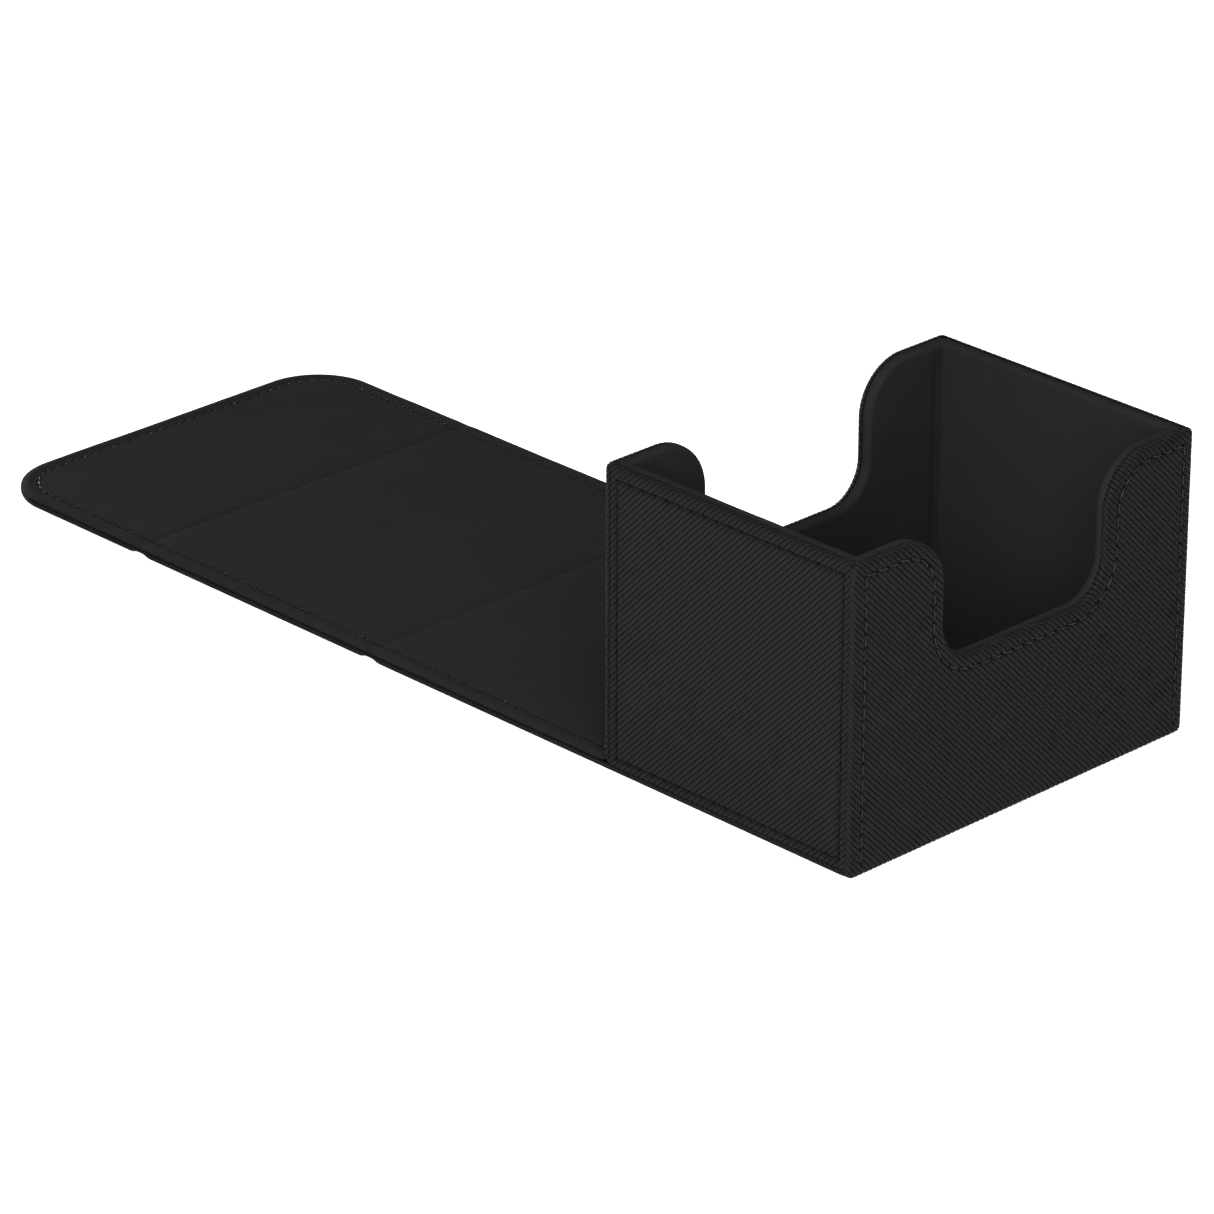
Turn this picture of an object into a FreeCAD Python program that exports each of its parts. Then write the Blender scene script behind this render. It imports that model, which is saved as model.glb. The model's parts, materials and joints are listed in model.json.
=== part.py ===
import FreeCAD, Part
import math
import os

# A card deck box: an open-topped box with a three-section wrap-around lid, lying open.
# Every wall, the base and every lid section is the same sandwich: a turned-edge outer skin
# over a board, a thin foam pad and a turned-edge lining, joined by a row of stitches.
# Frame: origin at the centre of the box's underside, +Z up, +X towards the front wall,
# and the lid opens out flat towards -X. Millimetres.

Vector = FreeCAD.Vector

# Box, outside
BOX_DEPTH = 75.0        # along X, rear wall to front wall
BOX_WIDTH = 105.0       # along Y
BOX_HEIGHT = 72.7
RIM_CORNER = 1.2        # corner radius of every panel outline
FOOT_CORNER = 3.0       # rounder bottom corners of the front wall

# Sandwich, measured inwards from a panel's outer face
SKIN = 0.7              # embossed leatherette
OUTER_LAYER = 1.8       # skin and board together, which is also the height of the skin's turned rim
CLOTH = 0.6             # lining cloth, over its pad
PANEL = 2.8             # whole panel: base and lid
WALL_PANEL = 4.2        # whole wall, which has a thicker pad
TURNED_RIM = 0.8        # width of the turned rim round each skin and lining
PAD_MARGIN = 2.6        # lining's turned edge, outside the pad
BOARD_PLAY = 0.05       # between a board or pad and the tray that holds it
PANEL_PLAY = 0.05       # between neighbouring panels
OUTER_ROUND = 0.6       # rolled outer edge of skin and lining
WALL_ROUND = 1.1        # rolled inner edge of the walls' thicker lining
SEAM_ROUND = 0.2        # small roll on both sides of the seam between skin and lining

# Finger cut-outs in the front and rear walls
CUTOUT_HALF_WIDTH = 25.5
CUTOUT_BOTTOM = 41.2
CUTOUT_TOP_ROUND = 12.5
CUTOUT_FOOT_ROUND = 9.75

# Lid
CLOSING_GAP = 0.4       # between the closed lid and the box
HINGE_ZONE = 4.6        # width of each flexible strip between two lid sections
PIVOT_HEIGHT = 1.0      # fold axis above the outer face
LID_REACH = 208.9       # rear wall to the end of the flap, lying open
FLAP_CORNER = 16.0
WEB_BOTTOM = 0.4        # the web is recessed from the outer face by this much
WEB_TOP = 2.0
CREASE_RADIUS = 0.35    # scored groove along the fold axis

# Stitching
THREAD_RADIUS = 0.18
CHANNEL_DEPTH = 0.4
CHANNEL_WIDTH = 0.7
WALL_PITCH = 3.3
LID_PITCH = 2.9
STITCH_GAP = 0.7        # where the thread dives into its needle hole
NOTCHED_SEAM = 3.35     # stitch line from the edge, front and rear walls
SIDE_SEAM = 2.3         # stitch line from the sides of the left and right walls
SIDE_SEAM_TOP = 3.0
SIDE_SEAM_FOOT = 1.9
LID_SEAM = 4.3

# Hidden magnets that hold the flap shut
MAGNET_RADIUS = 5.0
MAGNET_THICKNESS = 1.0
MAGNET_SPREAD = 27.0    # either side of the middle
MAGNET_HEIGHT = 31.0    # above the underside, lid closed
MAGNET_PLAY = 0.05

# Fold axes, as distances from the rear wall with the lid lying open. They follow from the
# closed lid: it stands CLOSING_GAP behind, above and in front of the box.
FOLD_OFFSET = CLOSING_GAP + PANEL - PIVOT_HEIGHT
SIDE_FOLD = FOLD_OFFSET
TOP_FOLD = SIDE_FOLD + BOX_HEIGHT + FOLD_OFFSET - PIVOT_HEIGHT
FLAP_FOLD = TOP_FOLD + BOX_DEPTH + 2 * FOLD_OFFSET
REAR_FACE = -BOX_DEPTH / 2
CLOSED_FOLD_HEIGHT = BOX_HEIGHT + FOLD_OFFSET

EPSILON = 1e-4
SHARP = 1e-3            # corner radius that stands for none


# ---------------------------------------------------------------- outlines

def outline(corners):
    """Flat face through right-angled corners (x, y, radius), each replaced by an arc."""
    points = [Vector(x, y, 0) for x, y, radius in corners]
    arcs = []
    for index, (x, y, radius) in enumerate(corners):
        corner = points[index]
        before = (points[index - 1] - corner).normalize()
        after = (points[(index + 1) % len(points)] - corner).normalize()
        middle = corner + (before + after) * radius * (1 - 1 / math.sqrt(2))
        arcs.append((corner + before * radius, middle, corner + after * radius))
    edges = []
    for index, (start, middle, end) in enumerate(arcs):
        edges.append(Part.Arc(start, middle, end).toShape())
        onward = arcs[(index + 1) % len(arcs)][0]
        if end.distanceToPoint(onward) > EPSILON:
            edges.append(Part.makeLine(end, onward))
    return Part.Face(Part.Wire(edges))


def rectangle(left, bottom, right, top, radius=RIM_CORNER):
    return outline([(left, bottom, radius), (right, bottom, radius),
                    (right, top, radius), (left, top, radius)])


def notched(half_width, bottom, foot_radius):
    """Wall outline with the finger cut-out in its top edge."""
    right_half = [
        (half_width, bottom, foot_radius),
        (half_width, BOX_HEIGHT, RIM_CORNER),
        (CUTOUT_HALF_WIDTH, BOX_HEIGHT, CUTOUT_TOP_ROUND),
        (CUTOUT_HALF_WIDTH, CUTOUT_BOTTOM, CUTOUT_FOOT_ROUND),
    ]
    left_half = [(-x, y, radius) for x, y, radius in reversed(right_half)]
    return outline(right_half + left_half)


def flap_outline(left, right):
    """Lid flap: its free end, at the left, has large rounded corners."""
    half = BOX_WIDTH / 2
    return outline([(left, -half, FLAP_CORNER), (right, -half, RIM_CORNER),
                    (right, half, RIM_CORNER), (left, half, FLAP_CORNER)])


def inset(face, distance):
    return face.makeOffset2D(-distance)


# ---------------------------------------------------------------- solids

def slab(face, low, high):
    """The face raised from depth low to depth high."""
    lifted = face.copy()
    lifted.translate(Vector(0, 0, low))
    return lifted.extrude(Vector(0, 0, high - low))


def rounded_at(solid, depth, radius):
    """Roll the outer edges that lie at one depth."""
    edges = [e for e in solid.Edges
             if all(abs(v.Z - depth) < EPSILON for v in e.Vertexes)
             and abs(e.CenterOfMass.z - depth) < EPSILON]
    return solid.makeFillet(radius, edges)


def tray(face, low, high, rolled, radius, seam, well, rim):
    """A turned-edge cover: a plate with a rim, rolled at one depth and hollow for what it wraps."""
    solid = rounded_at(slab(face, low, high), rolled, radius)
    solid = rounded_at(solid, seam, SEAM_ROUND)
    return solid.cut(slab(inset(face, rim), *well))


def channel(path_face, low, high):
    """Sewn channel that follows a stitch line."""
    half = CHANNEL_WIDTH / 2
    return slab(inset(path_face, -half), low, high).cut(slab(inset(path_face, half), low, high))


def stitches(edges, pitch, depth):
    """Separate thread bars along the stitch line, one per stitch."""
    bars = []
    for edge in edges:
        count = max(1, round(edge.Length / pitch))
        step = edge.Length / count
        length = step - STITCH_GAP
        for index in range(count):
            place = edge.getParameterByLength((index + 0.5) * step)
            middle = edge.valueAt(place)
            along = edge.tangentAt(place).normalize()
            start = middle - along * (length / 2) + Vector(0, 0, depth)
            bars.append(Part.makeCylinder(THREAD_RADIUS, length, start, along))
    return bars


# ---------------------------------------------------------------- one panel

def panel(outer, inner, thickness, seam_face, seam_edges, pitch, magnets=()):
    """The nodes of one sandwich panel, drawn flat with its outer face at depth 0.

    outer and inner are the outlines of the outer layer and of the lining. The stitch line is
    seam_face's boundary, and seam_edges are the stretches of it that are sewn, or None. The
    lid's thinner panels are sewn right through, so their stitches show on both faces.
    """
    both_sides = thickness == PANEL
    pad_top = thickness - CLOTH
    skin = tray(outer, 0, OUTER_LAYER, 0, OUTER_ROUND, OUTER_LAYER, (SKIN, OUTER_LAYER), TURNED_RIM)
    board = slab(inset(outer, TURNED_RIM + BOARD_PLAY), SKIN, OUTER_LAYER)
    lining = tray(inner, OUTER_LAYER, thickness, thickness, OUTER_ROUND if both_sides else WALL_ROUND,
                  OUTER_LAYER, (OUTER_LAYER, pad_top), PAD_MARGIN)
    pad = slab(inset(inner, PAD_MARGIN + BOARD_PLAY), OUTER_LAYER, pad_top)
    parts = {"skin": skin, "board": board, "pad": pad, "lining": lining}
    if seam_edges:
        parts["skin"] = skin.cut(channel(seam_face, 0, CHANNEL_DEPTH))
        bars = stitches(seam_edges, pitch, CHANNEL_DEPTH / 2)
        if both_sides:
            parts["lining"] = lining.cut(channel(seam_face, PANEL - CHANNEL_DEPTH, PANEL))
            bars += stitches(seam_edges, pitch, PANEL - CHANNEL_DEPTH / 2)
        parts["stitching"] = Part.makeCompound(bars)
    if magnets:
        pockets = [disc(x, y, MAGNET_RADIUS + MAGNET_PLAY, SKIN, OUTER_LAYER) for x, y in magnets]
        parts["board"] = board.cut(pockets)
        low = SKIN + MAGNET_PLAY
        parts["magnets"] = Part.makeCompound(
            [disc(x, y, MAGNET_RADIUS, low, low + MAGNET_THICKNESS) for x, y in magnets])
    return parts


def disc(x, y, radius, low, high):
    return Part.makeCylinder(radius, high - low, Vector(x, y, low))


def placed(parts, origin, across, up):
    """Stand a flat panel up: its X runs along across, its Y along up, its depth inwards."""
    depth = across.cross(up)
    matrix = FreeCAD.Matrix(across.x, up.x, depth.x, origin.x,
                            across.y, up.y, depth.y, origin.y,
                            across.z, up.z, depth.z, origin.z, 0, 0, 0, 1)
    for shape in parts.values():
        shape.Placement = FreeCAD.Placement(matrix).multiply(shape.Placement)
    return parts


def edges_above(face, height):
    """Boundary edges whose middle lies above a height, which leaves a foot unsewn."""
    return [e for e in face.OuterWire.Edges if e.CenterOfMass.y > height]


# ---------------------------------------------------------------- the box

X, Y, Z = Vector(1, 0, 0), Vector(0, 1, 0), Vector(0, 0, 1)


def base():
    front = BOX_DEPTH / 2 - OUTER_LAYER - PANEL_PLAY
    outer = rectangle(REAR_FACE, -BOX_WIDTH / 2, front, BOX_WIDTH / 2)
    half_x = BOX_DEPTH / 2 - WALL_PANEL - PANEL_PLAY
    half_y = BOX_WIDTH / 2 - WALL_PANEL - PANEL_PLAY
    inner = rectangle(-half_x, -half_y, half_x, half_y)
    return placed(panel(outer, inner, PANEL, None, None, None), Vector(), X, Y)


def end_wall(outer_foot, foot_radius, magnets):
    """Front or rear wall, full width, with a finger cut-out."""
    outer = notched(BOX_WIDTH / 2, outer_foot, foot_radius)
    inner = notched(BOX_WIDTH / 2 - OUTER_LAYER - PANEL_PLAY, OUTER_LAYER + PANEL_PLAY, RIM_CORNER)
    seam = inset(outer, NOTCHED_SEAM)
    sewn = edges_above(seam, outer_foot + NOTCHED_SEAM + EPSILON)
    return panel(outer, inner, WALL_PANEL, seam, sewn, WALL_PITCH, magnets)


def side_wall():
    """Left or right wall, between the front and rear walls."""
    foot = OUTER_LAYER + PANEL_PLAY
    half_outer = BOX_DEPTH / 2 - OUTER_LAYER - PANEL_PLAY
    half_inner = BOX_DEPTH / 2 - WALL_PANEL - PANEL_PLAY
    outer = rectangle(-half_outer, foot, half_outer, BOX_HEIGHT)
    inner = rectangle(-half_inner, foot, half_inner, BOX_HEIGHT)
    half_seam = half_outer - SIDE_SEAM
    seam = rectangle(-half_seam, foot + SIDE_SEAM_FOOT, half_seam, BOX_HEIGHT - SIDE_SEAM_TOP)
    return panel(outer, inner, WALL_PANEL, seam, seam.OuterWire.Edges, WALL_PITCH)


def walls():
    magnets = [(side * MAGNET_SPREAD, MAGNET_HEIGHT) for side in (-1, 1)]
    half_x, half_y = BOX_DEPTH / 2, BOX_WIDTH / 2
    foot = OUTER_LAYER + PANEL_PLAY
    return {
        "front_wall": placed(end_wall(0, FOOT_CORNER, magnets), X * half_x, -Y, Z),
        "rear_wall": placed(end_wall(foot, RIM_CORNER, ()), -X * half_x, Y, Z),
        "left_wall": placed(side_wall(), -Y * half_y, -X, Z),
        "right_wall": placed(side_wall(), Y * half_y, X, Z),
    }


# ---------------------------------------------------------------- the lid

def lid_section(near_fold, far_fold):
    """A lid section between two folds, given as distances from the rear wall."""
    right = REAR_FACE - near_fold - HINGE_ZONE / 2
    left = REAR_FACE - far_fold + HINGE_ZONE / 2
    face = rectangle(left, -BOX_WIDTH / 2, right, BOX_WIDTH / 2)
    half_seam = BOX_WIDTH / 2 - LID_SEAM
    # the stitch line runs off both ends of the section, because it carries on over the folds
    overrun = PANEL
    seam = rectangle(left - overrun, -half_seam, right + overrun, half_seam, SHARP)
    sewn = [Part.makeLine(Vector(left + STITCH_GAP, y, 0), Vector(right - STITCH_GAP, y, 0))
            for y in (-half_seam, half_seam)]
    return placed(panel(face, face, PANEL, seam, sewn, LID_PITCH), Vector(), X, Y)


def lid_flap():
    right = REAR_FACE - FLAP_FOLD - HINGE_ZONE / 2
    left = REAR_FACE - LID_REACH
    face = flap_outline(left, right)
    half_seam = BOX_WIDTH / 2 - LID_SEAM
    corner = FLAP_CORNER - LID_SEAM
    end = left + LID_SEAM
    beyond = right + PANEL
    seam = outline([(end, -half_seam, corner), (beyond, -half_seam, SHARP),
                    (beyond, half_seam, SHARP), (end, half_seam, corner)])
    arcs_and_end = [e for e in seam.OuterWire.Edges if e.CenterOfMass.x < end + corner]
    straight = [Part.makeLine(Vector(end + corner, y, 0), Vector(right - STITCH_GAP, y, 0))
                for y in (-half_seam, half_seam)]
    from_fold = CLOSED_FOLD_HEIGHT - MAGNET_HEIGHT
    magnets = [(REAR_FACE - FLAP_FOLD - from_fold, side * MAGNET_SPREAD) for side in (-1, 1)]
    return placed(panel(face, face, PANEL, seam, arcs_and_end + straight, LID_PITCH, magnets),
                  Vector(), X, Y)


def hinge_web(fold):
    """Flexible strip of skin and lining glued together, scored along its fold axis."""
    axis = REAR_FACE - fold
    left = axis - HINGE_ZONE / 2 + PANEL_PLAY
    right = min(axis + HINGE_ZONE / 2, REAR_FACE) - PANEL_PLAY
    half = BOX_WIDTH / 2 - RIM_CORNER
    strip = Part.makeBox(right - left, 2 * half, WEB_TOP - WEB_BOTTOM, Vector(left, -half, WEB_BOTTOM))
    groove = Part.makeCylinder(CREASE_RADIUS, 2 * half, Vector(axis, -half, PIVOT_HEIGHT), Y)
    slot = Part.makeBox(2 * CREASE_RADIUS, 2 * half, WEB_TOP - PIVOT_HEIGHT,
                        Vector(axis - CREASE_RADIUS, -half, PIVOT_HEIGHT))
    return strip.cut([groove, slot])


# ---------------------------------------------------------------- writing

def nodes():
    panels = {"base": base(), **walls()}
    panels["lid_side"] = lid_section(SIDE_FOLD, TOP_FOLD)
    panels["lid_top"] = lid_section(TOP_FOLD, FLAP_FOLD)
    panels["lid_flap"] = lid_flap()
    named = {f"{name}_{part}": shape for name, parts in panels.items() for part, shape in parts.items()}
    named["side_hinge_web"] = hinge_web(SIDE_FOLD)
    named["top_hinge_web"] = hinge_web(TOP_FOLD)
    named["flap_hinge_web"] = hinge_web(FLAP_FOLD)
    return named


os.makedirs("parts", exist_ok=True)
for node, shape in nodes().items():
    shape.exportStep(f"parts/{node}.step")
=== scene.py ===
import json
import math

import bmesh
import bpy
import numpy as np
from mathutils import Matrix, Vector


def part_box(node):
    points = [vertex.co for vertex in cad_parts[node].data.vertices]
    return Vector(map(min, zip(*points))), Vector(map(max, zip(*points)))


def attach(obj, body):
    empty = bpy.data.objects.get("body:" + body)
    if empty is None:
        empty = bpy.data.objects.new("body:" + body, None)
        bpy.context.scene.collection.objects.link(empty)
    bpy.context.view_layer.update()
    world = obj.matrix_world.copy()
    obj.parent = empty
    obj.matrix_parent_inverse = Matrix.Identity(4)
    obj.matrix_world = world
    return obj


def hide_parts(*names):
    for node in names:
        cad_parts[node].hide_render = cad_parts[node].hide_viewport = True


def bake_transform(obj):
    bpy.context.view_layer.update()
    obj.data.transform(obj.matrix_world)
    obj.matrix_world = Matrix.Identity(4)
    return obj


# Looks of a card deck box: embossed leatherette outside, soft lining inside, stitched edges,
# and a three-section lid lying open. Panels are drawn flat, in millimetres, as sheets that
# roll over their edges, and are then stood up where the CAD frame says.

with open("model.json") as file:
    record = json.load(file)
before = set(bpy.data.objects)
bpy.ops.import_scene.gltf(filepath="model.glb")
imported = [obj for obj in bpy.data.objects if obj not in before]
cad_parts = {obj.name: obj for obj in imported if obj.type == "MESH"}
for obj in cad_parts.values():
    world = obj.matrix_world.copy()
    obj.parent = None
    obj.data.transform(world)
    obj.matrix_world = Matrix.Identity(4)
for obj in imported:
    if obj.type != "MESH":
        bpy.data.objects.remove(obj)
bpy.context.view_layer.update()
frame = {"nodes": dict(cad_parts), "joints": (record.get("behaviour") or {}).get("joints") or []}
MM = 0.001


def corners_of(node):
    """Lowest and highest corner of a CAD node, in millimetres."""
    low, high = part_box(node)
    return np.array(low) / MM, np.array(high) / MM


# ------------------------------------------------------------------ sizes from the frame
FRONT_LOW, FRONT_HIGH = corners_of("front_wall_skin")
REAR_LOW = corners_of("rear_wall_skin")[0]
BASE_FRONT = corners_of("base_skin")[1][0]
LID_END = corners_of("lid_flap_skin")[0][0]
FRONT_X, REAR_X = FRONT_HIGH[0], REAR_LOW[0]
HALF_WIDTH = FRONT_HIGH[1]
HEIGHT = FRONT_HIGH[2]
LAYER = FRONT_HIGH[0] - FRONT_LOW[0]                                      # outer skin and board
WALL_PANEL = FRONT_HIGH[0] - corners_of("front_wall_lining")[0][0]
PANEL = corners_of("base_lining")[1][2]                                   # base and lid
FOLDS = {joint["name"]: joint["pos_m"][0] / MM for joint in frame["joints"]}   # X of each fold

# ------------------------------------------------------------------ sizes of the soft detail
# Outlines that the frame's boxes don't give.
CUTOUT_HALF_WIDTH, CUTOUT_BOTTOM = 25.5, 41.2
CUTOUT_TOP_ROUND, CUTOUT_FOOT_ROUND = 12.5, 9.75
FLAP_CORNER = 16.0

# Rolled edges: width, how far the edge curls in at the seam, its fullness (below 1 it is fuller
# than an ellipse), and the length and darkness of the painted shade at its end, by the seam.
SKIN_EDGE = (1.2, 0.12, 0.75, 0.35, 0.6)
LID_SKIN_EDGE = (0.7, 0.12, 0.75, 0.6, 0.9)
WALL_LINING_EDGE = (1.1, 0.5, 0.75, 0.35, 0.6)
LINING_EDGE = (2.0, 0.3, 1.0, 1.0, 0.95)               # the base's and the lid's
CORE_ROUND = 0.3         # corner radius of a sheet inside its rolled edge
RIM_WALL = 0.55          # thickness of the turned rim
RIM_END = 0.05           # how close to the sheet's end its rim points lie
BACK = 0.9               # depth of a sheet's flat back, as a share of its rim's depth

# How far sheets reach past the frame or under their neighbours.
PROUD = 0.3              # the walls' soft edges above the frame
REAR_TUCK, FRONT_TUCK, FOOT_TUCK = 1.4, 1.0, 1.3       # the left and right walls' skins
END_TRIM = 0.2           # the front and rear walls' skins are this much narrower at each end
BASE_TUCK = 0.5          # the base's skin under the front wall
LINING_TUCK = 0.6        # the lid's lining at the rear wall
CORNER_TUCK, FLOOR_TUCK = 2.3, 1.9                     # the linings in the box's inner corners
CORNER_VALLEY = (1.9, 0.8, 0.18)                       # from an inner corner: place, width, depth
VALLEY_ENDS, VALLEY_SHADE = (1, 6), 0.25               # it fades in from the edge

# Embossed ribs, with a shallower groove between each pair of main grooves.
RIB_PITCH = 1.06
RISING, FALLING = math.radians(45), math.radians(135)
RIB_DEPTH, END_RIB_DEPTH = 0.15, 0.28                  # deeper on the front and rear walls
GROOVE_WIDTH = 0.13      # half width of a groove as a share of the rib pitch
MINOR_GROOVE = 0.5       # depth of every second groove as a share
GROOVE_PAINTED_SHADE = 0.8      # painted shade in the deepest grooves
MARGIN_DROP, MARGIN_SLOPE = 0.2, 2.6                   # the skin slopes away outside its stitching
RIB_WAVER, RIB_WAVER_LENGTH = 0.04, 14                 # ribs wander by this share of their pitch
RIB_VARIATION, RIB_VARIATION_LENGTH = 0.15, 9          # uneven embossing
LINING_WAVER, LINING_WAVER_LENGTH = 0.05, 22
RIPPLE_WAVES, RIPPLE_SPREAD = 6, (0.7, 1.6)            # waves in an undulation, and their lengths
STRIP_SEED, FLOOR_SEED, LID_SEED = 61, 71, 81
CLOTH_SEED_STEP = 50     # from a wall's seed to its lining's

# Stitch lines, from the panel's edge, and needle holes along them.
SEAM_END = 3.1           # front and rear walls
SEAM_SIDE, SEAM_TOP, SEAM_FOOT = 2.1, 3.0, 1.9         # left and right walls
SEAM_LID = 4.3
SEAM_START = 1.5         # the lid's stitching starts this far outside the rear wall
SIDE_PITCHES = (3.7, 3.2)                              # along the left and right walls, and up them
WALL_PITCH, LID_PITCH = 3.4, 2.95
# Channels and needle holes are painted in shade: CHANNEL_SHADE along a channel, full at a hole.
HOLE_RADIUS, HOLE_REACH, HOLE_DEPTH = 0.36, 0.75, 0.5  # half widths across and along the line
CHANNEL_RADIUS, CHANNEL_DEPTH, CHANNEL_SHADE = 0.42, 0.16, 0.6
THREAD_RADIUS, THREAD_TOP, THREAD_DIVE, THREAD_SLANT = 0.14, 0.1, 0.75, 0.1
THREAD_TAPER, PLY_DEPTH, PLY_TWISTS = 0.35, 0.13, 1.6
DIVE_POWER, TAPER_POWER = 6, 3                         # how suddenly its ends dive and taper
THREAD_GAP = 0.08        # from a needle hole to the thread's end, as a share of the pitch

# Folds of the lid, and its lining beside the stitches.
FOLD_HALF = 3.5          # half the width that bends at a fold
NOTCH_DEPTH, NOTCH_HALF, NOTCH_POWER = 0.7, 2.3, 4     # under the second and third folds
BEND_STRIP = 1.0         # the flat back is divided into strips this wide across a fold
FOLD_VALLEY = (1.9, 0.12)                              # width, depth
FOLD_CREASE = (0.5, 0.06, 0.15)                        # width, depth, darkness of its painted shade
CREASE_ENDS = (3, 8)     # the crease fades in over this distance from the edge
MARGIN_RIDGE, MARGIN_VALLEY = (1.9, 0.6, 0.12), (3.2, 0.7, 0.12)   # place, width, height

# Mesh cells across and along the ribs, and steps round corners and edges in degrees.
WALL_CELL = (RIB_PITCH / 6, 0.43)
LID_CELL = (RIB_PITCH / 4, 0.45)
LINING_CELL = (0.45, 0.45)
LID_LINING_CELL = (0.32, 0.32)
THREAD_RINGS, THREAD_SIDES = 11, 8
ARC_STEP, ROLL_STEP = 4, 6
SHARP_ANGLE = 60         # steeper edges are shaded hard


# ------------------------------------------------------------------ colours and shades
def grey(level, blue):
    """Near-neutral colour whose blue differs a little."""
    return level, level, blue


SKIN_DARK, SKIN_LIGHT = grey(0.0113, 0.0116), grey(0.0162, 0.0167)
LINING_DARK, LINING_LIGHT = grey(0.0135, 0.0138), grey(0.019, 0.0194)
THREAD_DARK, THREAD_LIGHT = grey(0.01, 0.0103), grey(0.017, 0.0175)
# Thread for the left and right walls: the same thread, painted darker with shade.
SHADED_THREAD_DARK, SHADED_THREAD_LIGHT = grey(0.004, 0.0042), grey(0.009, 0.0093)
BOARD_DARK, BOARD_LIGHT = grey(0.006, 0.006), grey(0.011, 0.011)
FOAM_DARK, FOAM_LIGHT = grey(0.006, 0.006), grey(0.01, 0.01)
NICKEL_DARK, NICKEL_LIGHT = grey(0.5, 0.5), grey(0.62, 0.6)
SKIN_GLOSS, LINING_GLOSS, HIDDEN_GLOSS = 0.1, 0.05, 0.05
SKIN_ROUGHNESS, ROUGHNESS_VARIATION, LINING_ROUGHNESS = 0.42, 0.12, 0.85
# Painted shade, as the share of colour taken away: in seams, needle holes and rim ends, in grooves, in cross
# cuts, and in the lining's seams and creases.
SEAM_SHADE, GROOVE_SHADE, CUT_SHADE, LINING_SHADE = 0.95, 0.9, 0.12, 0.85
CUTS_PER_PITCH = 1.7     # short cuts across each rib
MAIN_REACH, MINOR_REACH, CUT_REACH = 0.27, 0.24, 0.3   # half widths of grooves and cuts
CUT_HEIGHT = 0.8         # depth of cuts and minor grooves beside the grain's
GRAIN, PATCH = (3.5, 3.0, 0.65), (0.05, 2.0)           # noise: scale, detail and roughness
NAP, FIBRE = (0.1, 4.0, 0.55), (6.0, 4.0, 0.7)
GRAIN_BUMP, FIBRE_BUMP = (0.3, 0.00005), (0.35, 0.00003)           # strength and distance

# ------------------------------------------------------------------ stage sizes, in metres
FLOOR_HALF, FLOOR_DROP, FLOOR_GLOW = 3.0, 0.0002, 0.9
WORLD_STRENGTH = 0.2
LIT_POINT = (0, 0, 0.03)
LIGHTS = {               # position, size and power
    "key": ((0.75, -0.75, 0.5), 0.6, 9),
    "side": ((0.25, -1.0, 0.7), 0.6, 8),
    "top": ((0.45, -0.4, 0.55), 0.4, 2),
    "rake": ((0.6, 1.2, 1.0), 0.4, 5),
    "back": ((-1.3, 0.1, 0.12), 0.2, 9),
}
CAMERA_PLACE = (0.8908, -0.9522, 0.6342)
CAMERA_ANGLES = (45.86, 24.73, 0.147)   # azimuth, elevation and roll in degrees
SENSOR, LENS = 36, 196.1


# ------------------------------------------------------------------ outlines
def unit(v):
    return v / np.linalg.norm(v)


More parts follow.
